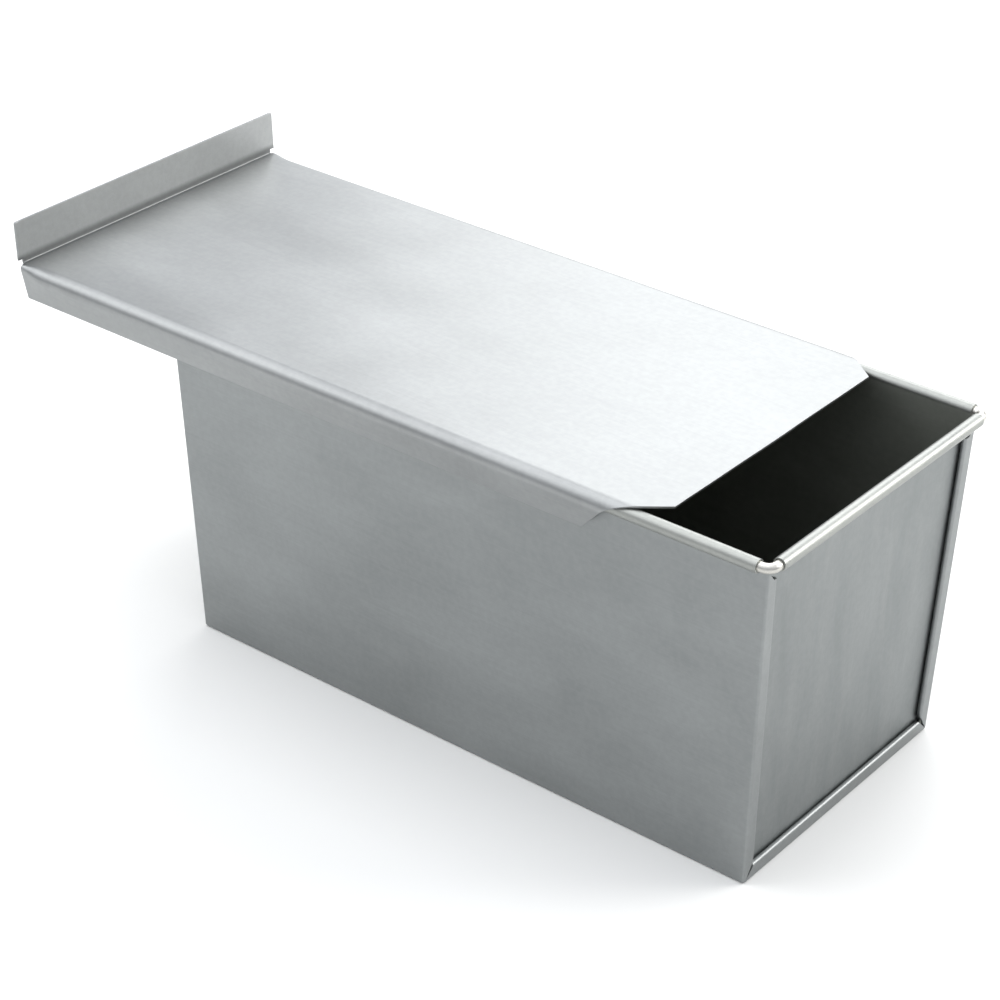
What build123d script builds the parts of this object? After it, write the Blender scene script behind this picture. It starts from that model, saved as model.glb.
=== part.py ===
from build123d import *
from math import atan, cos, radians, sin, tan
import os

os.makedirs("parts", exist_ok=True)

# A lidded loaf pan in folded sheet metal. Millimetres, X along the pan, Z up.
# The origin is on the rest face, under the middle of the floor.

# ---- driving dimensions of the pan ----
top_length = 250.0        # over the end seams, level with the rim wire
top_width = 123.4         # over the long walls, level with the rim wire
bottom_length = 242.0     # over the end seams, at the floor
bottom_width = 114.2      # over the long walls, at the floor
rim_height = 128.0        # top of the rolled rim
sheet = 0.6               # pan sheet
wire_radius = 1.7         # rim wire
fit_gap = 0.05            # between layers that are pressed together
floor_bend = 1.2          # outside radius where the walls turn up from the floor
corner_bend = 0.9         # outside radius where the sheet turns onto the ends

seam_width = 5.6          # of the folded seam round three sides of each end
seam_depth = 2.1          # a seam's outer face stands this far out from the panel
fold_round = 1.0          # outside radius of a seam's folded edge
seam_top = 123.7          # height of the side seams' outer edges, close under the wire
seam_low_top = 118.85     # height of their inner edges
seam_slope = 3.7          # width of the sloping end between the two
mitre_slit = 0.3          # where a side seam meets the bottom seam

side_curl_half = 122.6    # half length of the curl along each long wall
end_curl_half = 58.8      # half length of the curl along each end
curl_mouth = 6.0          # degrees past the wire's lowest point where the rolled edge stops
wire_bend = 3.2           # centreline radius of the wire at the rim's corners
hook_top = 117.0          # height where the end panels' hooked edges stop
step_corners = (120.8, 123.2)  # heights of the two bends that carry an end panel out to the rim
step_bend = 3.0           # outside radius of those bends
step_gap = 0.9            # between the stepped part and the sloping ends of the side seams
step_shoulder = 122.5     # height where the stepped part narrows to the curl

# ---- driving dimensions of the lid ----
lid_sheet = 0.8
lid_lift = 0.4            # air between the rolled rim and the lid
lid_half_width = 67.4     # outside, at the bends along the lid's sides
lid_front = 86.1          # front edge, with the lid slid partly back
lid_rear = -195.9         # inner face of the pull
lid_bend = 4.2            # outside radius of the long bends
flange_angle = 15.0       # degrees that the side flanges lean in under the rim
flange_bottom = 114.9     # height of the flanges' lower edges
pull_height = 16.2        # above the lid's top face
pull_lean = 0.7           # the pull leans out by this much at its top
pull_bend = 0.8           # inside radius of the bend under the pull
pull_corner = 0.8         # rounding of the pull's top corners
ear_lift = 0.6            # the pull's ends hang this far above the lid's top face
tip_half_width = 55.9     # half length of the lid's straight front edge
clip_slope = 1.25         # slope of the clipped front corners

# ---- worked out from them ----
curl_inner = wire_radius + fit_gap
curl_outer = curl_inner + sheet
rim_centre = rim_height - curl_outer
ring_half_length = top_length / 2 - sheet + curl_outer
ring_half_width = top_width / 2 - sheet + curl_outer
end_lean = atan((top_length - bottom_length) / 2 / rim_centre)
panel_depth = seam_depth + fit_gap
fold_space = seam_depth - 2 * sheet   # between a seam's face and the layer returned under it
hook = sheet + fit_gap    # an end panel's hooked edge lies this far inside the seam's outer faces
lid_top = rim_height + lid_lift + lid_sheet
flange_lean = radians(flange_angle)
past = 20.0               # how far cutting shapes run past the metal

ends = (1, -1)
sides = (1, -1)


def half_width(height):
    """Half width of the pan over its walls at a height above the floor."""
    return bottom_width / 2 + (top_width - bottom_width) / 2 * height / rim_centre


def outline(inset, bottom, top):
    """Corners of the pan's cross-section between two heights, set in at both sides."""
    low = half_width(bottom) - inset
    high = half_width(top) - inset
    return [(-low, bottom), (low, bottom), (high, top), (-high, top)]


def end_plane(end, depth):
    """Plane of an end face, sunk into the pan by a depth, with its Y up the face."""
    outward = (end * cos(end_lean), 0, -sin(end_lean))
    face = Plane(origin=(end * bottom_length / 2, 0, 0), x_dir=(0, end, 0), z_dir=outward)
    return face.offset(-depth)


def face_point(depth, height):
    """X and Z of a point sunk into the front end face, at a height up the face."""
    x = bottom_length / 2 + height * sin(end_lean) - depth * cos(end_lean)
    return (x, height * cos(end_lean) + depth * sin(end_lean))


def rounded_outline(inset, bottom, top):
    """Draw the cross-section with its two bottom corners rounded."""
    Polygon(*outline(inset, bottom, top), align=None)
    fillet(vertices().group_by(Axis.Y)[0], radius=floor_bend - inset)


def seam_route(end, top):
    """Line down one side of an end face, along its bottom and up the other side."""
    high = half_width(top)
    low = half_width(0)
    with BuildLine(end_plane(end, 0)) as border:
        Polyline((-high, top), (-low, 0), (low, 0), (high, top))
    return border.line


def seam_plane(end, route):
    """Plane across the route's start, with X into the end face and Y out of it."""
    along = route % 0
    return Plane(origin=route @ 0, x_dir=end_plane(end, 0).z_dir.cross(along), z_dir=along)


def curl_section(side):
    """Draw the open roll of a curl, with its mouth low down on the wall's side."""
    reach = 2 * curl_outer
    Circle(curl_outer)
    Circle(curl_inner, mode=Mode.SUBTRACT)
    lip = -side * reach * tan(radians(curl_mouth))
    mouth = [(0, 0), (lip, -reach), (-side * reach, -reach), (-side * reach, 0)]
    Polygon(*mouth, align=None, mode=Mode.SUBTRACT)


# ---- pan body: one sheet folded into the floor and both long walls ----
with BuildPart() as pan_body:
    with BuildSketch(Plane.YZ):
        rounded_outline(0, 0, rim_centre)
    extrude(amount=top_length, both=True)
    with BuildSketch(Plane.YZ):
        rounded_outline(sheet, sheet, rim_centre)
    extrude(amount=top_length, both=True, mode=Mode.SUBTRACT)
    for end in ends:
        split(bisect_by=end_plane(end, seam_depth), keep=Keep.BOTTOM)

    # seams: the sheet turns onto the end, folds back and returns under itself
    for end in ends:
        route = seam_route(end, rim_centre)
        with BuildSketch(seam_plane(end, route)):
            Rectangle(seam_width, seam_depth, align=(Align.MIN, Align.MAX))
            fillet(vertices().group_by(Axis.X)[-1], radius=fold_round)
            fillet(vertices().group_by(Axis.X)[0].sort_by(Axis.Y)[-1], radius=corner_bend)
            with Locations((sheet, -sheet)):
                corner = (Align.MIN, Align.MAX)
                Rectangle(seam_width - 2 * sheet, fold_space, align=corner, mode=Mode.SUBTRACT)
                Rectangle(sheet + 2 * fit_gap, seam_depth, align=corner, mode=Mode.SUBTRACT)
        sweep(path=route, transition=Transition.RIGHT)
    with BuildSketch(Plane.YZ):
        rounded_outline(0, 0, rim_centre + past)
    extrude(amount=top_length, both=True, mode=Mode.INTERSECT)

    # the walls are cut away at the rim's corners, just above the seams' tops
    with BuildSketch(Plane.XZ):
        for end in ends:
            corner_cut = [
                (end * side_curl_half, rim_height),
                (end * side_curl_half, rim_centre),
                (end * (top_length / 2 - seam_depth), seam_top + sheet),
                (end * (top_length / 2 + past), seam_top + sheet),
                (end * (top_length / 2 + past), rim_height),
            ]
            Polygon(*corner_cut, align=None)
    extrude(amount=top_width, both=True, mode=Mode.SUBTRACT)

    # the top end of each side seam slopes down from the corner, under the bare bend of the wire
    for end in ends:
        with BuildSketch(end_plane(end, 0)):
            for side in sides:
                border = half_width(seam_top)
                beyond = 2 * seam_top - seam_low_top
                slope = [
                    (side * (border + seam_slope), beyond),
                    (side * (border - seam_slope), seam_low_top),
                    (side * (border - 2 * seam_width), seam_low_top),
                    (side * (border - 2 * seam_width), beyond),
                ]
                Polygon(*slope, align=None)
        extrude(amount=-seam_depth, mode=Mode.SUBTRACT)

    # mitre slits through the seams' outer layer at the bottom corners
    for end in ends:
        with BuildSketch(end_plane(end, 0)):
            for side in sides:
                start = half_width(0) - floor_bend
                stop = half_width(0) - floor_bend - seam_width
                slit = [
                    (side * stop, floor_bend + seam_width - mitre_slit),
                    (side * start, floor_bend - mitre_slit),
                    (side * start, floor_bend),
                    (side * stop, floor_bend + seam_width),
                ]
                Polygon(*slit, align=None)
        extrude(amount=-sheet, mode=Mode.SUBTRACT)

    # curls over the rim wire along both long walls
    for side in sides:
        across = Plane(origin=(0, side * ring_half_width, rim_centre), x_dir=(0, 1, 0), z_dir=(1, 0, 0))
        with BuildSketch(across):
            curl_section(side)
        extrude(amount=side_curl_half, both=True)

pan_body.part.label = "pan_body"
export_step(pan_body.part, "parts/pan_body.step")

# ---- end panels: set back behind the seams, hooked into them, rolled at the top ----
with BuildPart() as end_panel_front:
    # the part above the seams: two bends carry the sheet out to the rim
    with BuildSketch(Plane.XZ):
        with BuildLine():
            FilletPolyline(
                face_point(panel_depth, hook_top - sheet),
                face_point(panel_depth, step_corners[0]),
                face_point(0, step_corners[1]),
                face_point(0, rim_centre + fit_gap),
                radius=step_bend,
            )
            offset(amount=sheet, side=Side.LEFT)
        make_face()
    extrude(amount=top_width / 2, both=True)

    # its sides follow the sloping ends of the side seams, then narrow to the curl
    with BuildSketch(end_plane(1, -past)):
        for side in sides:
            border = half_width(seam_top) - step_gap
            shoulder = seam_slope * (seam_top - step_shoulder) / (seam_top - seam_low_top)
            trim = [
                (side * (border - seam_slope), 0),
                (side * (border - seam_slope), seam_low_top),
                (side * (border - shoulder), step_shoulder),
                (side * end_curl_half, step_shoulder + sheet),
                (side * end_curl_half, rim_height + past),
                (side * top_width, rim_height + past),
                (side * top_width, 0),
            ]
            Polygon(*trim, align=None)
    extrude(amount=-3 * past, mode=Mode.SUBTRACT)

    # the panel and its hooked edges
    with BuildSketch(end_plane(1, panel_depth)):
        Polygon(*outline(hook, hook, hook_top + sheet), align=None)
    extrude(amount=-sheet)
    route = seam_route(1, hook_top)
    with BuildSketch(seam_plane(1, route)):
        with Locations((hook, -hook)):
            corner = (Align.MIN, Align.MAX)
            Rectangle(seam_width - 2 * hook, sheet, align=corner)
            Rectangle(sheet, panel_depth - hook, align=corner)
    sweep(path=route, transition=Transition.RIGHT)
    with BuildSketch(Plane.YZ):
        rounded_outline(hook, hook, hook_top)
        with Locations((0, hook_top)):
            Rectangle(top_width, past, align=(Align.CENTER, Align.MIN))
    extrude(amount=top_length, mode=Mode.INTERSECT)

    with BuildSketch(Plane(origin=(ring_half_length, 0, rim_centre), x_dir=(1, 0, 0), z_dir=(0, -1, 0))):
        curl_section(1)
    extrude(amount=end_curl_half, both=True)

end_panel_front.part.label = "end_panel_front"
export_step(end_panel_front.part, "parts/end_panel_front.step")

with BuildPart() as end_panel_rear:
    add(end_panel_front.part.mirror(Plane.YZ))

end_panel_rear.part.label = "end_panel_rear"
export_step(end_panel_rear.part, "parts/end_panel_rear.step")

# ---- rim wire: one closed ring inside the curls, bare at the four corners ----
with BuildPart() as rim_wire:
    with BuildLine(Plane.XY.offset(rim_centre)) as ring:
        FilletPolyline(
            (-ring_half_length, -ring_half_width),
            (ring_half_length, -ring_half_width),
            (ring_half_length, ring_half_width),
            (-ring_half_length, ring_half_width),
            radius=wire_bend,
            close=True,
        )
    with BuildSketch(Plane(origin=ring.line @ 0, z_dir=ring.line % 0)):
        Circle(wire_radius)
    sweep()

rim_wire.part.label = "rim_wire"
export_step(rim_wire.part, "parts/rim_wire.step")


# ---- lid: one sheet, bent down along both sides and up at the rear ----
def bend_end(radius, side):
    """Where the face of a long bend at this radius runs into the flange."""
    y = lid_half_width - lid_bend + radius * cos(flange_lean)
    return (side * y, lid_top - lid_bend - radius * sin(flange_lean))


def bend_middle(radius, side):
    """Halfway round the face of a long bend at this radius."""
    y = lid_half_width - lid_bend + radius * cos(radians(45))
    return (side * y, lid_top - lid_bend + radius * sin(radians(45)))


def flange_end(radius, side):
    """Lower end of the flange's face that leaves the bend at this radius."""
    y, z = bend_end(radius, side)
    return (y - side * (z - flange_bottom) * tan(flange_lean), flange_bottom)


with BuildPart() as lid:
    lid_inner = lid_bend - lid_sheet
    flat_half = lid_half_width - lid_bend
    flat_rear = lid_rear + pull_bend
    under = lid_top - lid_sheet
    with BuildSketch(Plane.YZ.offset(flat_rear)):
        for side in sides:
            edge = side * flat_half
            with BuildLine():
                Line((0, lid_top), (edge, lid_top))
                ThreePointArc((edge, lid_top), bend_middle(lid_bend, side), bend_end(lid_bend, side))
                Polyline(
                    bend_end(lid_bend, side),
                    flange_end(lid_bend, side),
                    flange_end(lid_inner, side),
                    bend_end(lid_inner, side),
                )
                ThreePointArc(bend_end(lid_inner, side), bend_middle(lid_inner, side), (edge, under))
                Polyline((edge, under), (0, under), (0, lid_top))
            make_face()
    extrude(amount=lid_front - flat_rear)

    # the pull along the rear
    with BuildSketch(Plane.XZ):
        with BuildLine():
            bend_centre = (flat_rear, lid_top + pull_bend)
            pull_top = lid_top + pull_height
            CenterArc(bend_centre, pull_bend, 180, 90)
            CenterArc(bend_centre, pull_bend + lid_sheet, 180, 90)
            Polyline(
                (lid_rear, lid_top + pull_bend),
                (lid_rear - pull_lean, pull_top),
                (lid_rear - pull_lean - lid_sheet, pull_top),
                (lid_rear - lid_sheet, lid_top + pull_bend),
            )
            Line((flat_rear, lid_top), (flat_rear, under))
        make_face()
    extrude(amount=lid_half_width, both=True)
    pull_corners = edges().filter_by(Axis.X).group_by(Axis.Z)[-1]
    fillet(pull_corners, radius=pull_corner)

    # the bend under the pull stops where the long bends begin, so the pull's ends hang free
    with BuildSketch(Plane.YZ.offset(flat_rear)):
        for side in sides:
            with Locations((side * (flat_half + past / 2), lid_top + ear_lift - past / 2)):
                Rectangle(past, past)
    extrude(amount=-past, mode=Mode.SUBTRACT)

    # front corners of the blank clipped before it was bent
    for side in sides:
        corner = (lid_front, side * tip_half_width, lid_top)
        with BuildSketch(Plane(origin=corner, z_dir=(1, side * clip_slope, -clip_slope))):
            Rectangle(5 * past, 5 * past)
        extrude(amount=5 * past, mode=Mode.SUBTRACT)

lid.part.label = "lid"
export_step(lid.part, "parts/lid.step")
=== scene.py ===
import math

import bmesh
import bpy
import numpy as np
from mathutils import Matrix, Vector


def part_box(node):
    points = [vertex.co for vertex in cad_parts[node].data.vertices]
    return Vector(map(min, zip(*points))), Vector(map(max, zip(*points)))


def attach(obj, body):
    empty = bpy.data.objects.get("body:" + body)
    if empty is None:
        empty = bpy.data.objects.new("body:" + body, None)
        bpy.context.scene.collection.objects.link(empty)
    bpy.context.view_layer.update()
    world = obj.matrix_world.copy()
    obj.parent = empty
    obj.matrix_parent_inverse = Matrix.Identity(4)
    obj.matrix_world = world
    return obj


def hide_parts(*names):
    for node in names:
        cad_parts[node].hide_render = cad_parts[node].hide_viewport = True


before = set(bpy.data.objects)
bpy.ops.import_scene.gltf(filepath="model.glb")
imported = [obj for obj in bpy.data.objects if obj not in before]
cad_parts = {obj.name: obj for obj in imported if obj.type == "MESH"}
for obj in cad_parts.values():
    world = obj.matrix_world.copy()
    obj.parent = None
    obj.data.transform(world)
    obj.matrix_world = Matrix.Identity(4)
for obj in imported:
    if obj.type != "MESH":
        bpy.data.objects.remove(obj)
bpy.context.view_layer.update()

mm = 0.001  # shapes are worked out in millimetres and scaled once, as they become meshes
mergeGap = 0.002  # points nearer to each other than this, in millimetres, become one
tiny = 1e-6  # a difference that is only rounding


# lowest and highest corner of a CAD node, in millimetres
def boxOf(node):
    low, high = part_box(node)
    return np.array(low) / mm, np.array(high) / mm


# the wire's and the lid's place, from the frame
wireLow, wireHigh = boxOf("rim_wire")
lidLow, lidHigh = boxOf("lid")
rimCentre = (wireLow[2] + wireHigh[2]) / 2
wireRadius = (wireHigh[2] - wireLow[2]) / 2
ringHalfLength = wireHigh[0] - wireRadius
ringHalfWidth = wireHigh[1] - wireRadius


# numbers from a to b, closer together at both ends: a straight run, with half a cosine wave mixed in by bunch
def spread(a, b, count, bunch):
    u = np.linspace(0, 1, count)
    return a + (b - a) * ((1 - bunch) * u + bunch * (1 - np.cos(np.pi * u)) / 2)


# points of an arc, from one angle to another in degrees: centre + radius * (cos, sin)
def arc(centreX, centreY, radius, start, end, count):
    angle = np.radians(np.linspace(start, end, count))
    return np.stack([centreX + radius * np.cos(angle), centreY + radius * np.sin(angle)], axis=-1)


# a path through corners, each corner replaced by an arc that leaves and joins its two runs at a tangent:
# the tangent points lie radius / tan(half the corner's angle) from the corner, the centre on its bisector
def roundedPath(corners, radii, steps):
    corners = np.array(corners, float)
    parts = [corners[:1]]
    for before, corner, after, radius in zip(corners, corners[1:], corners[2:], radii):
        a = (before - corner) / np.linalg.norm(before - corner)
        b = (after - corner) / np.linalg.norm(after - corner)
        half = math.acos(np.clip(a @ b, -1, 1)) / 2
        middle = (a + b) / np.linalg.norm(a + b)
        centre = corner + middle * radius / math.sin(half)
        turn = np.linspace(half - math.pi / 2, math.pi / 2 - half, steps)
        side = a - (a @ middle) * middle
        side = side / np.linalg.norm(side)
        parts.append(centre - radius * (np.outer(np.cos(turn), middle) + np.outer(np.sin(turn), side)))
    parts.append(corners[-1:])
    return np.vstack(parts)


# a path with extra points on its runs, so that none is longer than the given step
def divided(path, step):
    parts = []
    for a, b in zip(path, path[1:]):
        count = max(1, math.ceil(np.linalg.norm(b - a) / step))
        parts.append(a + (b - a) * np.linspace(0, 1, count, endpoint=False)[:, None])
    return np.vstack(parts + [path[-1:]])


# each wave of the dents: its strength, how fast it runs along the sheet and across it, and where it starts
dentWaves = ((1.0, 2.1, 0.9, 0.0), (0.7, 4.3, -2.6, 1.3), (0.5, 1.1, 5.2, 2.4))


# shallow dents of a hand-worked sheet: three sine waves that cross at an angle, added and scaled
def dents(a, b, shape):
    u, v = a / shape["waveLong"], b / shape["waveShort"]
    waves = sum(strength * np.sin(along * u + across * v + start)
                for strength, along, across, start in dentWaves)
    return shape["waveHeight"] * waves / sum(wave[0] for wave in dentWaves)


# 0 at the borders of a sheet and 1 from the given distance inwards, with a smooth rise between
def fade(distance, reach):
    u = np.clip(distance / reach, 0, 1)
    return u * u * (3 - 2 * u)


# joins a grid of points into quads in the order (r, c) (r, c+1) (r+1, c+1) (r+1, c), leaves out the cells
# where keep is false, numbers each cell's material, and merges the points that fall together
def gridMesh(name, points, keep=None, flip=False, closed=False, finish=None):
    index = np.arange(points.shape[0] * points.shape[1]).reshape(points.shape[:2])
    if closed:
        index = np.vstack([index, index[:1]])
        index = np.hstack([index, index[:, :1]])
    quads = np.stack([index[:-1, :-1], index[:-1, 1:], index[1:, 1:], index[1:, :-1]], axis=-1)
    quads = quads[..., ::-1] if flip else quads
    quads = quads.reshape(-1, 4) if keep is None else quads[keep]
    used, packed = np.unique(quads, return_inverse=True)
    mesh = bpy.data.meshes.new(name)
    mesh.from_pydata((points.reshape(-1, 3)[used] * mm).tolist(), [], packed.reshape(-1, 4).tolist())
    if finish is not None:
        mesh.polygons.foreach_set("material_index", finish[keep].astype(np.int32))
    work = bmesh.new()
    work.from_mesh(mesh)
    bmesh.ops.remove_doubles(work, verts=work.verts, dist=mergeGap * mm)
    work.to_mesh(mesh)
    work.free()
    mesh.shade_smooth()
    piece = bpy.data.objects.new(name, mesh)
    bpy.context.scene.collection.objects.link(piece)
    return piece


# facets of a broken edge, and the angle in degrees from which an edge is broken
cutEdges = {"steps": 2, "from": 50}


# gives a skin its metal behind it, and breaks the cut edges by the width in its dictionary
def thicken(piece, shape):
    solid = piece.modifiers.new("sheet", "SOLIDIFY")
    solid.thickness = shape["sheet"] * mm
    solid.material_offset = 1  # the metal's other face takes the next material
    solid.offset = -1
    solid.use_even_offset = True
    solid.use_quality_normals = True
    bevel = piece.modifiers.new("edges", "BEVEL")
    bevel.width = shape["cutEdge"] * mm
    bevel.segments = cutEdges["steps"]
    bevel.limit_method = "ANGLE"
    bevel.angle_limit = math.radians(cutEdges["from"])
    weighted = piece.modifiers.new("normals", "WEIGHTED_NORMAL")
    weighted.keep_sharp = False


# sRGB hex to the linear numbers that shaders use
def linear(hexColour):
    parts = [int(hexColour[i:i + 2], 16) / 255 for i in (1, 3, 5)]
    return [p / 12.92 if p <= 0.04045 else ((p + 0.055) / 1.055) ** 2.4 for p in parts] + [1.0]


# adds one node, sets its values and joins its inputs; a link is given as (node, output name)
def addNode(material, kind, settings=None, inputs=None):
    node = material.node_tree.nodes.new(kind)
    for key, value in (settings or {}).items():
        setattr(node, key, value)
    for key, value in (inputs or {}).items():
        if isinstance(value, tuple) and isinstance(value[0], bpy.types.Node):
            material.node_tree.links.new(value[0].outputs[value[1]], node.inputs[key])
        else:
            node.inputs[key].default_value = value
    return node


# a material with an empty node tree
def newMaterial(name):
    material = bpy.data.materials.new(name)
    material.use_nodes = True
    material.node_tree.nodes.clear()
    return material


noiseLow, noiseHigh = 0.3, 0.7  # nearly all of a noise's values lie between these


# steel sheet, hot-dipped in aluminium and rolled: matt silver, cloudy over some centimetres, with a fine
# grain along the rolling direction and a few short rub marks; where a look gives a crease, painted shade
# darkens the sheet round it
def aluminisedSheet(name, look):
    material = newMaterial(name)
    place = addNode(material, "ShaderNodeTexCoord")
    scales = {part: [1 / (mm * length) for length in look[part]] for part in ("grain", "cloud", "marks")}
    grainPlace = addNode(material, "ShaderNodeMapping", {"vector_type": "POINT"},
                         {"Vector": (place, "Object"), "Scale": scales["grain"]})
    grain = addNode(material, "ShaderNodeTexNoise", {},
                    {"Vector": (grainPlace, "Vector"), "Scale": 1.0, "Detail": 3.0, "Roughness": 0.6})
    cloudPlace = addNode(material, "ShaderNodeMapping", {"vector_type": "POINT"},
                         {"Vector": (place, "Object"), "Scale": scales["cloud"]})
    cloud = addNode(material, "ShaderNodeTexNoise", {},
                    {"Vector": (cloudPlace, "Vector"), "Scale": 1.0, "Detail": 4.0, "Roughness": 0.55,
                     "Distortion": 0.4})
    mottle = addNode(material, "ShaderNodeTexNoise", {},
                     {"Vector": (place, "Object"), "Scale": 1 / (mm * look["mottle"]), "Detail": 2.0,
                      "Roughness": 0.5})
    markPlace = addNode(material, "ShaderNodeMapping", {"vector_type": "POINT"},
                        {"Vector": (place, "Object"), "Scale": scales["marks"], "Rotation": look["markTurn"]})
    marks = addNode(material, "ShaderNodeTexNoise", {},
                    {"Vector": (markPlace, "Vector"), "Scale": 1.0, "Detail": 5.0, "Roughness": 0.7})
    markLine = addNode(material, "ShaderNodeMapRange", {},
                       {"Value": (marks, "Fac"), "From Min": look["markRange"][0],
                        "From Max": look["markRange"][1], "To Min": 0.0, "To Max": 1.0})
    cloudTone = addNode(material, "ShaderNodeMapRange", {},
                        {"Value": (cloud, "Fac"), "From Min": noiseLow, "From Max": noiseHigh})
    baseTone = addNode(material, "ShaderNodeMix", {"data_type": "RGBA"},
                       {"Factor": (cloudTone, "Result"), "A": linear(look["dark"]),
                        "B": linear(look["light"])})
    mottleTone = addNode(material, "ShaderNodeMapRange", {},
                         {"Value": (mottle, "Fac"), "From Min": look["mottleRange"][0],
                          "From Max": look["mottleRange"][1],
                          "To Min": 1 - look["mottleDepth"], "To Max": 1.0})
    grainTone = addNode(material, "ShaderNodeMapRange", {},
                        {"Value": (grain, "Fac"), "From Min": noiseLow, "From Max": noiseHigh,
                         "To Min": 1 - look["grainDepth"], "To Max": 1.0})
    tone = addNode(material, "ShaderNodeMath", {"operation": "MULTIPLY"},
                   {0: (mottleTone, "Result"), 1: (grainTone, "Result")})
    # painted shade: the colour darkens towards the crease's line, by the distance from it in X and Z
    if "crease" in look:
        creaseX, creaseZ, reach = look["crease"]
        fromCrease = addNode(material, "ShaderNodeMapping", {"vector_type": "POINT"},
                             {"Vector": (place, "Object"), "Scale": (1, 0, 1),
                              "Location": (-creaseX * mm, 0, -creaseZ * mm)})
        distance = addNode(material, "ShaderNodeVectorMath", {"operation": "LENGTH"},
                           {"Vector": (fromCrease, "Vector")})
        creaseTone = addNode(material, "ShaderNodeMapRange", {"interpolation_type": "SMOOTHSTEP"},
                             {"Value": (distance, "Value"), "From Min": 0.0, "From Max": reach * mm,
                              "To Min": look["creaseTone"], "To Max": 1.0})
        tone = addNode(material, "ShaderNodeMath", {"operation": "MULTIPLY"},
                       {0: (tone, "Value"), 1: (creaseTone, "Result")})
    colour = addNode(material, "ShaderNodeVectorMath", {"operation": "SCALE"},
                     {"Vector": (baseTone, "Result"), "Scale": (tone, "Value")})
    roughCloud = addNode(material, "ShaderNodeMapRange", {},
                         {"Value": (cloud, "Fac"), "From Min": noiseLow, "From Max": noiseHigh,
                          "To Min": look["rough"][0], "To Max": look["rough"][1]})
    roughMark = addNode(material, "ShaderNodeMath", {"operation": "MULTIPLY_ADD"},
                        {0: (markLine, "Result"), 1: -look["markShine"], 2: (roughCloud, "Result")})
    bump = addNode(material, "ShaderNodeBump", {},
                   {"Height": (grain, "Fac"), "Strength": look["bump"], "Distance": look["bumpHeight"] * mm})
    markBump = addNode(material, "ShaderNodeBump", {"invert": True},
                       {"Height": (markLine, "Result"), "Strength": look["markBump"],
                        "Distance": look["markDepth"] * mm, "Normal": (bump, "Normal")})
    shader = addNode(material, "ShaderNodeBsdfPrincipled", {},
                     {"Base Color": (colour, "Vector"), "Metallic": look["metal"],
                      "Roughness": (roughMark, "Value"), "Normal": (markBump, "Normal")})
    addNode(material, "ShaderNodeOutputMaterial", {}, {"Surface": (shader, "BSDF")})
    return material


# steel wire, drawn through a die: brighter and smoother than the sheet, with a fine uneven skin
def drawnWire(name, look):
    material = newMaterial(name)
    place = addNode(material, "ShaderNodeTexCoord")
    skin = addNode(material, "ShaderNodeTexNoise", {},
                   {"Vector": (place, "Object"), "Scale": 1 / (mm * look["skin"]), "Detail": 3.0,
                    "Roughness": 0.6})
    tone = addNode(material, "ShaderNodeMapRange", {},
                   {"Value": (skin, "Fac"), "From Min": noiseLow, "From Max": noiseHigh})
    colour = addNode(material, "ShaderNodeMix", {"data_type": "RGBA"},
                     {"Factor": (tone, "Result"), "A": linear(look["dark"]), "B": linear(look["light"])})
    rough = addNode(material, "ShaderNodeMapRange", {},
                    {"Value": (skin, "Fac"), "To Min": look["rough"][0], "To Max": look["rough"][1]})
    bump = addNode(material, "ShaderNodeBump", {},
                   {"Height": (skin, "Fac"), "Strength": look["bump"], "Distance": look["bumpHeight"] * mm})
    shader = addNode(material, "ShaderNodeBsdfPrincipled", {},
                     {"Base Color": (colour, "Result"), "Metallic": 1.0, "Roughness": (rough, "Result"),
                      "Normal": (bump, "Normal")})
    addNode(material, "ShaderNodeOutputMaterial", {}, {"Surface": (shader, "BSDF")})
    return material


# lengths are in millimetres, along X, Y and Z where there are three
panLook = {
    "dark": "#8c8f8f", "light": "#989b9b",
    "cloud": (55, 30, 30),
    "mottle": 2.2,               # size of the dip's spangle
    "mottleRange": (0.35, 0.65),
    "mottleDepth": 0.05,
    "grain": (60, 0.5, 0.5),     # rolling lines; the real ones are finer, and are drawn coarse enough to show
    "grainDepth": 0.05,
    "marks": (9, 0.7, 0.7), "markTurn": (0.3, 0.2, 0.1),
    "markRange": (0.62, 0.74),   # only the highest parts of the noise become marks
    "markShine": 0.08,           # a rub mark is this much smoother
    "markBump": 0.3, "markDepth": 0.01,
    "rough": (0.4, 0.47),
    "bump": 0.35, "bumpHeight": 0.03,
    "metal": 1.0,
}
# the end panels have their rolling lines upright and are a shade darker than the walls
endLook = {**panLook, "grain": (0.5, 0.5, 60), "cloud": (30, 16, 60), "light": "#919494", "dark": "#808484"}
# the painted shade in the pull's fold: its middle, in from the rear end and up from the flanges' edges, and
# its reach
paintedFoldShade = {"in": 1.3, "up": 15.6, "reach": 2.8, "tone": 0.5}
lidLook = {**panLook, "cloud": (70, 45, 45), "light": "#a3a5a5", "dark": "#959797",
           "crease": (lidLow[0] + paintedFoldShade["in"], lidLow[2] + paintedFoldShade["up"], paintedFoldShade["reach"]),
           "creaseTone": paintedFoldShade["tone"]}
# inner faces: a darker, greener copy of the sheet, rougher and less metallic; the darkening is painted shade
# for the dim inside of the pan and the lid
shadedInsideLook = {**panLook, "dark": "#84877f", "light": "#93968f", "rough": (0.5, 0.6), "metal": 0.72}
# the rolled rim: a lighter copy of the sheet, a painted highlight along it
litBeadLook = {**panLook, "dark": "#989a97", "light": "#a5a7a3", "rough": (0.42, 0.48)}
wireLook = {"dark": "#bcbab4", "light": "#cfcdc7", "skin": 0.4, "rough": (0.34, 0.42),
            "bump": 0.2, "bumpHeight": 0.02}

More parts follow.
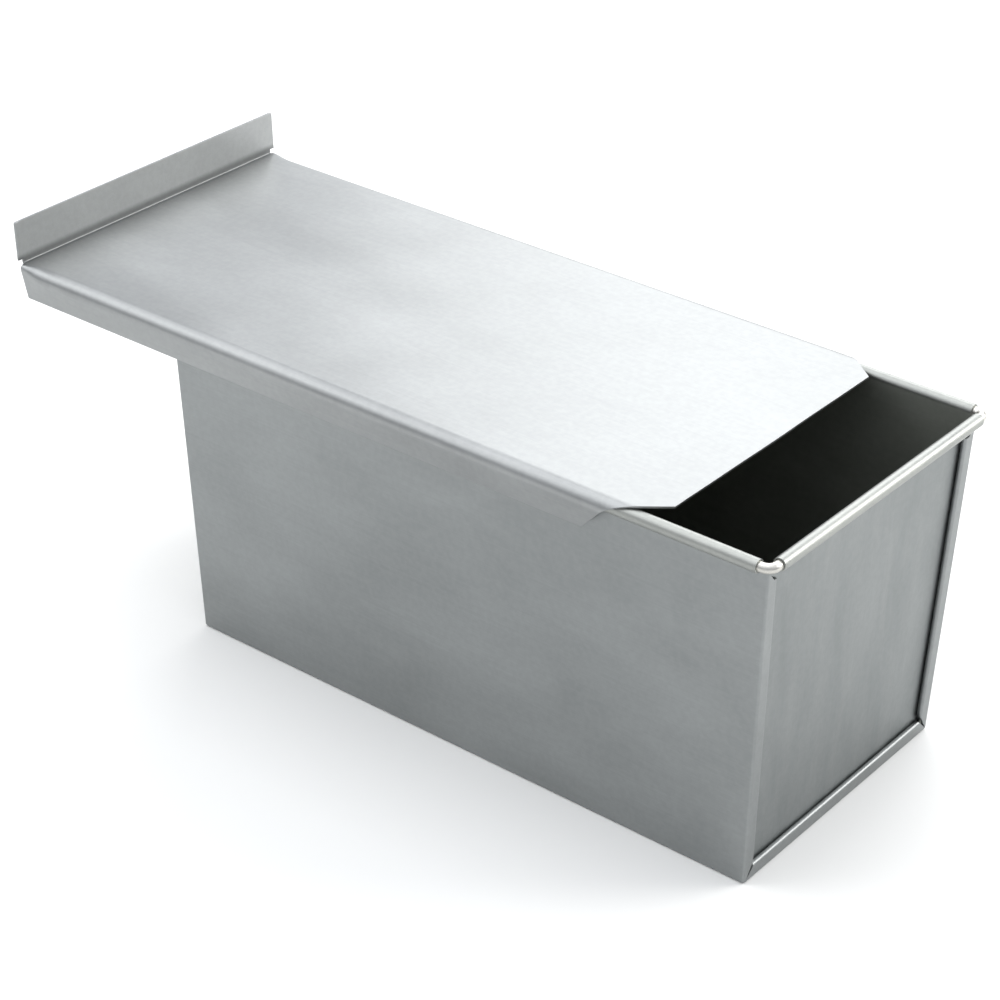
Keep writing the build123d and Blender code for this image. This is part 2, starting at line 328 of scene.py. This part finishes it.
beadSlot = 2  # a rolled edge's place in the list of a sheet's materials
panSheet = aluminisedSheet("aluminisedSteelPan", panLook)
# the inner faces of pan, ends and lid take this darker copy: painted shade
shadedInsideSheet = aluminisedSheet("shadeDarkenedSteelInside", shadedInsideLook)
endSheet = aluminisedSheet("aluminisedSteelEnds", endLook)
# the rolled rims take this lighter copy: painted highlight
litBeadSheet = aluminisedSheet("aluminisedSteelLitBead", litBeadLook)
lidSheet = aluminisedSheet("aluminisedSteelLid", lidLook)
wireSteel = drawnWire("drawnSteelWire", wireLook)
print("finishes ready")

panShape = {
    "bottomHalfLength": 121.0,   # over the end seams, at the floor
    "bottomHalfWidth": 57.1,     # over the long walls, at the floor
    "sheet": 0.6,
    "cutEdge": 0.15,             # how far its cut edges are broken
    "gap": 0.05,                 # between the wire and what is rolled round it
    "floorBend": 1.2,
    "cornerBend": 0.9,
    "seamWidth": 5.6,
    "seamDepth": 2.1,
    "seamTop": 123.7,            # height of the side seams' outer edges
    "seamLowTop": 118.85,        # height of their inner edges
    "seamSlope": 3.7,            # width of the sloping end between the two
    "slit": 0.3,                 # between the side seams and the bottom seam
    "sideCurlHalf": 122.6,
    "curlMouth": -96,            # degrees round the wire where the rolled edge ends
    "foldLead": 1.0,             # the seam's face stays flat up to this far before its fold
    "returnRows": (1.2, 2.4),    # how far the layer under the fold runs back
    "riseShares": (0.03, 0.4, 0.75, 1.0),  # rows of plain wall between the seams' tops and the rolled edge
    "dentsClear": 25, "dentsClearTop": 20,  # from the bends and seams to the first full dent
    "waveLong": 34, "waveShort": 21, "waveHeight": 0.16,
    "steps": {"corner": 6, "fold": 11, "length": 71, "floor": 16, "floorBend": 7, "wall": 45, "curl": 31},
}
curlRadius = wireRadius + panShape["gap"]
topHalfLength = ringHalfLength - curlRadius
topHalfWidth = ringHalfWidth - curlRadius
lean = math.atan((topHalfLength - panShape["bottomHalfLength"]) / rimCentre)


# half width of the pan over its walls, a straight line from the floor to the rim
def halfWidth(height):
    return panShape["bottomHalfWidth"] + (topHalfWidth - panShape["bottomHalfWidth"]) * height / rimCentre


# X and Z of a point of the front end face, sunk in by a depth, at a height measured up the face
def facePoint(depth, height):
    x = panShape["bottomHalfLength"] + height * math.sin(lean) - depth * math.cos(lean)
    return x, height * math.cos(lean) + depth * math.sin(lean)


# The pan body's skin is a grid. A row is one inset and depth of the folded section, from the return layer of
# one end seam, over its fold, face and corner bend, along the pan and down the other end. A column is one
# place of the cross-section: rolled rim, wall, floor bend, floor, and back up the other side.
def makePanBody():
    shape, steps = panShape, panShape["steps"]
    bend, corner = shape["floorBend"], shape["cornerBend"]
    foldRadius = shape["seamDepth"] / 2
    foldInset = shape["seamWidth"] - foldRadius
    section = np.vstack([
        arc(corner, corner, corner, 180, 270, steps["corner"]),
        [[bend, 0], [bend + shape["slit"], 0], [foldInset - shape["foldLead"], 0]],
        arc(foldInset, foldRadius, foldRadius, -90, 90, steps["fold"]),
        [[foldInset - run, 2 * foldRadius] for run in shape["returnRows"]],
    ])
    share = spread(-1, 1, steps["length"], bunch=0.25)
    seam = len(section)
    rows = seam + len(share) - 2 + seam
    inset, depth, along = np.zeros(rows), np.full(rows, corner), np.zeros(rows)
    inset[:seam], depth[:seam], along[:seam] = section[::-1, 0], section[::-1, 1], -1
    inset[-seam:], depth[-seam:], along[-seam:] = section[:, 0], section[:, 1], 1
    along[seam:-seam] = share[1:-1]

    # columns of the side towards +Y, from the middle of the floor to the end of the rolled edge
    floorShare = spread(0, 1, steps["floor"], bunch=0.3)
    bendTurn = np.linspace(90, 0, steps["floorBend"])[1:]
    wallShare = spread(0, 1, steps["wall"], bunch=0.25)[1:]
    riseShare = np.array(shape["riseShares"])
    curl = arc(ringHalfWidth, rimCentre, curlRadius, 180, shape["curlMouth"], steps["curl"])[1:]
    a = inset[:, None]
    past = a > bend
    centreWidth = halfWidth(bend) - bend
    floorEnd = np.where(past, halfWidth(a) - a - shape["slit"] / 2, centreWidth)
    floorY, floorHeight = floorShare * floorEnd, a + 0 * floorShare
    radius = np.maximum(bend - a, 0)
    turn = np.radians(bendTurn)
    bendY, bendHeight = centreWidth + radius * np.cos(turn), bend - radius * np.sin(turn)
    top = np.interp(inset, [0, shape["seamSlope"]], [shape["seamTop"], shape["seamLowTop"]])[:, None]
    low = np.where(past, a + shape["slit"] / 2, bend)
    wallHeight = low + (top - low) * wallShare
    wallY = halfWidth(wallHeight) - a
    zeros = 0 * a + 0 * riseShare
    riseY, riseHeight = zeros + halfWidth(shape["seamTop"]), zeros + shape["seamTop"]
    y = np.hstack([floorY, bendY, wallY, riseY, riseY[:, :1] + 0 * curl[:, 0]])
    height = np.hstack([floorHeight, bendHeight, wallHeight, riseHeight, riseHeight[:, :1] + 0 * curl[:, 0]])
    x, z = facePoint(depth[:, None], height)

    # above the seams only the wall is left, cut back to the length of the rolled edge
    first = y.shape[1] - len(curl) - len(riseShare)
    startX, startZ = facePoint(corner, shape["seamTop"])
    riseZ = startZ + (rimCentre - startZ) * riseShare
    z[:, first:] = np.concatenate([riseZ, curl[:, 1]])
    y[:, first:] = np.concatenate([halfWidth(riseZ), curl[:, 0]])
    x[:, first:] = np.interp(z[:, first:], [startZ, rimCentre], [startX, shape["sideCurlHalf"]])
    x[:, -len(curl):] = shape["sideCurlHalf"]
    x = x * along[:, None]

    # shallow dents in the long walls and the floor, none near the bends and seams
    wall = slice(len(floorShare) + len(bendTurn), first)
    margin = shape["dentsClear"]
    clear = fade(topHalfLength - np.abs(x), margin)
    wallDents = dents(x, z, shape) * clear * fade(z, margin) * fade(startZ - z, shape["dentsClearTop"])
    y[:, wall] += wallDents[:, wall] * (a == 0)
    floorColumns = slice(0, len(floorShare))
    floorDents = np.abs(dents(x, y, shape)) * clear * fade(centreWidth - y, margin)
    z[:, floorColumns] += floorDents[:, floorColumns] * (a == 0)

    points = np.stack([x, y, z], axis=-1)
    mirrored = points[:, :0:-1] * np.array([1, -1, 1])
    whole = np.concatenate([mirrored, points], axis=1)
    cells = np.ones((rows - 1, y.shape[1] - 1), bool)
    inSeam = np.maximum(inset[1:], inset[:-1]) > bend + tiny
    cells[inSeam, len(floorShare) - 1:len(floorShare) + len(bendTurn) - 1] = False
    atEnd = np.maximum(inset[1:], inset[:-1]) > tiny
    cells[atEnd, first - 1:] = False
    keep = np.concatenate([cells[:, ::-1], cells], axis=1)
    rolled = np.zeros(cells.shape, int)
    rolled[:, -len(curl):] = beadSlot
    piece = gridMesh("pan_shell", whole, keep, finish=np.concatenate([rolled[:, ::-1], rolled], axis=1))
    thicken(piece, shape)
    return piece


panShell = makePanBody()
for material in (panSheet, shadedInsideSheet, litBeadSheet, litBeadSheet):
    panShell.data.materials.append(material)
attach(panShell, "pan")
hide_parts("pan_body")
print("pan body folded:", len(panShell.data.polygons), "cells")

endShape = {
    "sheet": 0.6,
    "cutEdge": 0.12,
    "depth": 2.15,               # the panel lies this far behind the seams' face
    "hookDepth": 1.35,           # the hooked edge lies between the layers of the folded seams
    "hookInset": (1.35, 4.3),    # it turns out here, and ends here
    "hookTop": 117.0,
    "hookBend": 0.25,
    "edge": 2.0,                 # width of the strip of panel beside each hooked edge
    "step": (120.8, 123.2),      # heights of the two bends that carry the panel out to the rim
    "stepBend": (4.5, 3.0),
    "stepGap": 0.9,              # between the stepped part and the sloping ends of the side seams
    "shoulder": 122.5,           # height where the stepped part narrows to the curl
    "curlHalf": 58.8,
    "longestRun": 0.5,           # between two rows above the hooks
    "dentsClear": 22, "dentsClearTop": 20,
    "waveLong": 27, "waveShort": 30, "waveHeight": 0.14,
    "steps": {"hookBend": 5, "stepBend": 9, "height": 41, "width": 49},
}


# An end panel's skin is a grid. Its rows run up the section: hooked edge in the bottom seam, panel, step out,
# rolled rim. Its columns run across: hooked edge in one side seam, panel, hooked edge in the other.
def makeEndPanel(end):
    shape, steps = endShape, endShape["steps"]
    near, far = shape["hookInset"]
    flatInset = near + shape["edge"]
    hook = [[shape["hookDepth"], far], [shape["hookDepth"], near],
            [shape["depth"], near], [shape["depth"], flatInset]]
    edge = roundedPath(hook, [shape["hookBend"]] * 2, steps["hookBend"])
    hooked = len(edge) - 1
    stepLow, stepHigh = shape["step"]
    upper = roundedPath([[shape["depth"], shape["hookTop"] + shape["sheet"]], [shape["depth"], stepLow],
                         [0, stepHigh], [0, rimCentre]], shape["stepBend"], steps["stepBend"])
    upper = divided(upper, shape["longestRun"])
    panelHeights = spread(flatInset, shape["hookTop"], steps["height"], bunch=0.2)[1:]
    rowDepth = np.concatenate([edge[:, 0], np.full(len(panelHeights), shape["depth"]), upper[:, 0]])
    rowHeight = np.concatenate([edge[:, 1], panelHeights, upper[:, 1]])

    # half width of the panel's plain part at each row; above the hooks it follows the seams' sloping ends
    border = halfWidth(panShape["seamTop"]) - shape["stepGap"]
    fall = panShape["seamSlope"] / (panShape["seamTop"] - panShape["seamLowTop"])
    shoulder = shape["shoulder"]
    shoulderHalf = border - fall * (panShape["seamTop"] - shoulder)
    above = np.interp(rowHeight, [panShape["seamLowTop"], shoulder, shoulder + shape["sheet"]],
                      [border - panShape["seamSlope"], shoulderHalf, shape["curlHalf"]])
    below = halfWidth(np.maximum(rowHeight, flatInset)) - flatInset
    half = np.where(rowHeight > shape["hookTop"], above, below)

    share = spread(-1, 1, steps["width"], bunch=0.2)
    sideDepth = np.concatenate([edge[:-1, 0], np.full(len(share), shape["depth"]), edge[-2::-1, 0]])
    sideInset = np.concatenate([edge[:-1, 1], np.full(len(share), flatInset), edge[-2::-1, 1]])
    sideShare = np.concatenate([np.full(hooked, -1), share, np.full(hooked, 1)])
    isHook = np.abs(np.arange(len(sideShare)) - (len(sideShare) - 1) / 2) > (len(share) - 1) / 2
    depth = np.where(isHook, sideDepth, rowDepth[:, None])
    y = sideShare * (half[:, None] + flatInset - sideInset)
    x, z = facePoint(depth, rowHeight[:, None] + 0 * sideShare)
    seam, margin = panShape["seamWidth"], shape["dentsClear"]
    clear = fade(halfWidth(z) - seam - np.abs(y), margin) * fade(z - seam, margin)
    x += dents(y, z, shape) * clear * fade(shape["hookTop"] - z, shape["dentsClearTop"])

    roll = arc(ringHalfLength, rimCentre, curlRadius, 180, panShape["curlMouth"], panShape["steps"]["curl"])
    x = np.vstack([x, roll[:, :1] + 0 * sideShare])
    y = np.vstack([y, shape["curlHalf"] * sideShare + 0 * roll[:, :1]])
    z = np.vstack([z, roll[:, 1:] + 0 * sideShare])
    keep = np.ones((x.shape[0] - 1, x.shape[1] - 1), bool)
    hookCells = isHook[1:] | isHook[:-1]
    keep[:hooked, hookCells] = False
    keep[hooked + len(panelHeights):, hookCells] = False
    rolled = np.zeros(keep.shape, int)
    rolled[-len(roll):] = beadSlot
    points = np.stack([x * end, y, z], axis=-1)
    name = "end_sheet_front" if end > 0 else "end_sheet_rear"
    piece = gridMesh(name, points, keep, flip=end < 0, finish=rolled)
    thicken(piece, shape)
    return piece


for end, node in ((1, "end_panel_front"), (-1, "end_panel_rear")):
    endPiece = makeEndPanel(end)
    for material in (endSheet, shadedInsideSheet, litBeadSheet, litBeadSheet):
        endPiece.data.materials.append(material)
    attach(endPiece, "pan")
    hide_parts(node)
print("end panels made")

wireShape = {
    "bend": 3.2,                 # radius of the ring's corners, to the middle of the wire
    "bendSteps": 10,
    "longestRun": 12,            # between two rings of the surface
    "round": 28,
}


# the wire's surface: a circle carried round a rectangle with rounded corners
def makeWire():
    shape = wireShape
    corners = []
    for turn, sx, sy in ((0, 1, 1), (90, -1, 1), (180, -1, -1), (270, 1, -1)):
        cx, cy = sx * (ringHalfLength - shape["bend"]), sy * (ringHalfWidth - shape["bend"])
        corners.append(arc(cx, cy, shape["bend"], turn, turn + 90, shape["bendSteps"]))
    path = divided(np.vstack(corners + [corners[0][:1]]), shape["longestRun"])[:-1]
    ahead = np.roll(path, -1, axis=0) - np.roll(path, 1, axis=0)
    ahead = ahead / np.linalg.norm(ahead, axis=1)[:, None]
    out = np.stack([ahead[:, 1], -ahead[:, 0]], axis=-1)
    angle = np.linspace(0, 2 * np.pi, shape["round"], endpoint=False)
    flat = path[:, None, :] + wireRadius * np.cos(angle)[None, :, None] * out[:, None, :]
    z = rimCentre + wireRadius * np.sin(angle)[None, :] + 0 * path[:, :1]
    points = np.concatenate([flat, z[:, :, None]], axis=-1)
    return gridMesh("rim_wire_ring", points, closed=True, flip=True)


rimWire = makeWire()
rimWire.data.materials.append(wireSteel)
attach(rimWire, "pan")
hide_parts("rim_wire")
print("rim wire bent")

lidShape = {
    "sheet": 0.8,
    "cutEdge": 0.18,
    "bend": 4.2,                 # outside radius of the long bends
    "rearBend": 1.8,             # at the rear end, where the pull's fold draws them tight
    "rearReach": 9,              # length over which they ease out to the full radius
    "flangeAngle": 15,           # degrees that the flanges lean in under the rim
    "pullHeight": 16.2,
    "pullLean": 0.7,
    "pullBend": 0.4,
    "pullCorner": 0.8,
    "joined": 0.3,               # the pull's bend stops this far inside the long bends
    "tip": 55.9,                 # half length of the straight front edge
    "clipSlope": 1.25,
    "lastShares": (0.998, 1.0),  # the last two rows lie close, so that the front edge is crisp
    "dentsClearSide": 18, "dentsClearRear": 20,
    "waveLong": 40, "waveShort": 30, "waveHeight": 0.2,
    "steps": {"halfTop": 34, "bend": 15, "flange": 9, "length": 90, "pull": 14, "pullBend": 9},
}


# The lid's skin is a grid. Its rows run down the pull's inner face, round its bend and along the top to the
# front edge. Its columns run across: flange, long bend, top, long bend, flange.
def makeLid():
    shape, steps = lidShape, lidShape["steps"]
    lidTop = lidHigh[2] - shape["pullHeight"]
    halfLid = lidHigh[1]
    flatHalf = halfLid - shape["bend"]
    joined = flatHalf - shape["joined"]
    pullScale = (halfLid - shape["rearBend"]) / flatHalf
    lidRear = lidLow[0] + shape["sheet"] + shape["pullLean"]
    flatRear = lidRear + shape["pullBend"]
    angle = math.radians(shape["flangeAngle"])
    flatY = np.concatenate([spread(0, joined, steps["halfTop"], bunch=0.15), [flatHalf]])
    flatY[np.argmin(np.abs(flatY - shape["tip"]))] = shape["tip"]  # a column ends in the front corner's tip
    turn = arc(0, 0, 1, 90, -shape["flangeAngle"], steps["bend"])[1:]
    down = spread(0, 1, steps["flange"], bunch=0.3)[1:]
    bottomY = halfLid - shape["bend"] * (1 - math.cos(angle))
    bottomY -= (lidTop - shape["bend"] * (1 + math.sin(angle)) - lidLow[2]) * math.tan(angle)

    # half of the cross-section, from the middle of the top to the flange's edge, for one bend radius or a
    # column of them
    def halfSection(radius):
        centreY, centreZ = halfLid - radius, lidTop - radius
        bendY, bendZ = centreY + radius * turn[:, 0], centreZ + radius * turn[:, 1]
        flangeY = bendY[..., -1:] + (bottomY - bendY[..., -1:]) * down
        flangeZ = bendZ[..., -1:] + (lidLow[2] - bendZ[..., -1:]) * down
        topY = flatY * centreY / flatHalf
        topZ = lidTop + 0 * topY
        return (np.concatenate([topY, bendY, flangeY], axis=-1),
                np.concatenate([topZ, bendZ, flangeZ], axis=-1))

    halfY, halfZ = halfSection(np.array([shape["bend"]]))
    y, z = np.concatenate([-halfY[:0:-1], halfY]), np.concatenate([halfZ[:0:-1], halfZ])
    front = lidHigh[0] - shape["clipSlope"] * np.maximum(0, np.abs(y) - shape["tip"] + lidTop - z)
    lidShare = np.concatenate([spread(0, 1, steps["length"], bunch=0.2)[:-1], shape["lastShares"]])
    lidX = flatRear + (front - flatRear) * lidShare[:, None]
    along = fade(lidX[:, :1] - flatRear, shape["rearReach"])
    halfY, halfZ = halfSection(shape["rearBend"] + (shape["bend"] - shape["rearBend"]) * along)
    lidY, lidZ = np.hstack([-halfY[:, :0:-1], halfY]), np.hstack([halfZ[:, :0:-1], halfZ])
    onTop = np.abs(y) <= flatHalf
    clear = fade(flatHalf - np.abs(lidY), shape["dentsClearSide"])
    clear = clear * fade(lidX - flatRear, shape["dentsClearRear"])
    lidZ[:, onTop] += (dents(lidX, lidY, shape) * clear)[:, onTop]

    # the pull: its outer columns spread to the lid's full width and hang free above the long bends, and its
    # top corners are rounded
    fromMiddle = np.abs(np.arange(len(y)) - len(y) // 2)
    pullY = np.sign(y) * np.interp(fromMiddle, [len(flatY) - 2, len(y) // 2], [joined * pullScale, halfLid])
    pullY[np.abs(y) <= joined] = y[np.abs(y) <= joined] * pullScale
    corner = shape["pullCorner"]
    reach = np.maximum(0, np.abs(pullY) - halfLid + corner)
    drop = corner - np.sqrt(corner ** 2 - np.minimum(reach, corner) ** 2)
    upright = spread(1, 0, steps["pull"], bunch=0.2)[:-1]
    base = lidTop + shape["pullBend"]
    topZ = lidHigh[2] - drop
    upZ = base + (topZ - base) * upright[:, None]
    upX = lidRear - shape["pullLean"] * (upZ - base) / (lidHigh[2] - base)
    bendPull = arc(flatRear, base, shape["pullBend"], 180, 270, steps["pullBend"])
    bendX, bendZ = bendPull[:, :1] + 0 * y, bendPull[:, 1:] + 0 * y
    pullX, pullZ = np.vstack([upX, bendX]), np.vstack([upZ, bendZ])
    points = np.stack([np.vstack([pullX, lidX]), np.vstack([0 * pullX + pullY, lidY]),
                       np.vstack([pullZ, lidZ])], axis=-1)
    keep = np.ones((points.shape[0] - 1, points.shape[1] - 1), bool)
    outer = np.maximum(np.abs(y[1:]), np.abs(y[:-1])) > joined + tiny
    outer |= np.minimum(z[1:], z[:-1]) < lidTop - tiny
    keep[len(upX) - 1:len(pullX), outer] = False
    piece = gridMesh("lid_sheet_folded", points, keep, flip=True)
    thicken(piece, shape)
    return piece


lidPiece = makeLid()
lidPiece.data.materials.append(lidSheet)
lidPiece.data.materials.append(shadedInsideSheet)
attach(lidPiece, "lid")
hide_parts("lid")
print("lid folded")

# a plain room; lengths from here on are in metres
room = {
    "floorSize": 8.0, "floorColour": "#e8e8e6", "floorRough": 0.8,
    "skyColour": "#f6f9ff", "skyLow": 0.42, "skyTop": 1.1,
    "skyRise": 0.8,              # the sky is at its brightest from this height of the direction
    "lightAim": (0, 0, 0.08),
}
floorMesh = bpy.data.meshes.new("floor")
half = room["floorSize"] / 2
floorCorners = [(-half, -half, 0), (half, -half, 0), (half, half, 0), (-half, half, 0)]
floorMesh.from_pydata(floorCorners, [], [(0, 1, 2, 3)])
floor = bpy.data.objects.new("floor", floorMesh)
bpy.context.scene.collection.objects.link(floor)
paper = newMaterial("paperFloor")  # a roll of matt white paper
paperShader = addNode(paper, "ShaderNodeBsdfPrincipled", {},
                      {"Base Color": linear(room["floorColour"]), "Roughness": room["floorRough"]})
addNode(paper, "ShaderNodeOutputMaterial", {}, {"Surface": (paperShader, "BSDF")})
floorMesh.materials.append(paper)

# the light of a white room: dim at the horizon, bright overhead, by the height of the direction looked in
world = bpy.data.worlds.new("studio")
bpy.context.scene.world = world
world.use_nodes = True
world.node_tree.nodes.clear()
skyPlace = addNode(world, "ShaderNodeTexCoord")
skyHeight = addNode(world, "ShaderNodeSeparateXYZ", {}, {"Vector": (skyPlace, "Generated")})
skyShade = addNode(world, "ShaderNodeMapRange", {"interpolation_type": "SMOOTHSTEP"},
                   {"Value": (skyHeight, "Z"), "From Min": 0.0, "From Max": room["skyRise"],
                    "To Min": room["skyLow"], "To Max": room["skyTop"]})
sky = addNode(world, "ShaderNodeBackground", {},
              {"Color": linear(room["skyColour"]), "Strength": (skyShade, "Result")})
addNode(world, "ShaderNodeOutputWorld", {}, {"Surface": (sky, "Background")})

# soft boxes round the pan: the middle of each, its side and its watts
lights = {
    "back": {"at": (-0.45, 1.15, 0.95), "size": 1.1, "power": 11.5, "colour": (1.0, 1.0, 1.0)},
    "backRight": {"at": (1.0, 1.1, 0.75), "size": 0.9, "power": 16, "colour": (1.0, 0.98, 0.95)},
    "left": {"at": (-1.05, -0.85, 0.9), "size": 0.9, "power": 4, "colour": (1.0, 1.0, 1.0)},
    "leftHigh": {"at": (-0.8, -0.2, 1.2), "size": 1.2, "power": 5, "colour": (1.0, 1.0, 1.0)},
    "overhead": {"at": (0.0, -0.1, 1.5), "size": 1.2, "power": 5.5, "colour": (1.0, 1.0, 1.0)},
}
for name, light in lights.items():
    data = bpy.data.lights.new(name, "AREA")
    data.shape = "SQUARE"
    data.size = light["size"]
    data.energy = light["power"]
    data.color = light["colour"]
    lamp = bpy.data.objects.new(name, data)
    bpy.context.scene.collection.objects.link(lamp)
    lamp.location = light["at"]
    lamp.rotation_euler = (Vector(light["at"]) - Vector(room["lightAim"])).to_track_quat("Z", "Y").to_euler()

# the camera looks at the target from a distance, from an azimuth counted from -Y towards +X and from an
# elevation, and rolls a little; angles are in degrees, the lens and the sensor in millimetres
view = {"azimuth": 38.32, "elevation": 30.44, "roll": 0.74, "distance": 0.92215,
        "target": (0, -0.03409, 0.08933), "lens": 98.27, "sensor": 36.0, "clip": (0.01, 50)}
azimuth, elevation, roll = (math.radians(view[key]) for key in ("azimuth", "elevation", "roll"))
back = Vector((math.sin(azimuth) * math.cos(elevation), -math.cos(azimuth) * math.cos(elevation),
               math.sin(elevation)))
level = (-back).cross(Vector((0, 0, 1))).normalized()
upright = level.cross(-back)
right = math.cos(roll) * level + math.sin(roll) * upright
above = math.cos(roll) * upright - math.sin(roll) * level
cameraData = bpy.data.cameras.new("camera")
cameraData.lens = view["lens"]
cameraData.sensor_width = view["sensor"]
cameraData.clip_start, cameraData.clip_end = view["clip"]
camera = bpy.data.objects.new("camera", cameraData)
bpy.context.scene.collection.objects.link(camera)
camera.matrix_world = Matrix.Translation(Vector(view["target"]) + back * view["distance"]) @ Matrix(
    (right, above, back)).transposed().to_4x4()
bpy.context.scene.camera = camera
bpy.context.scene.view_settings.view_transform = "Standard"
print("room lit")
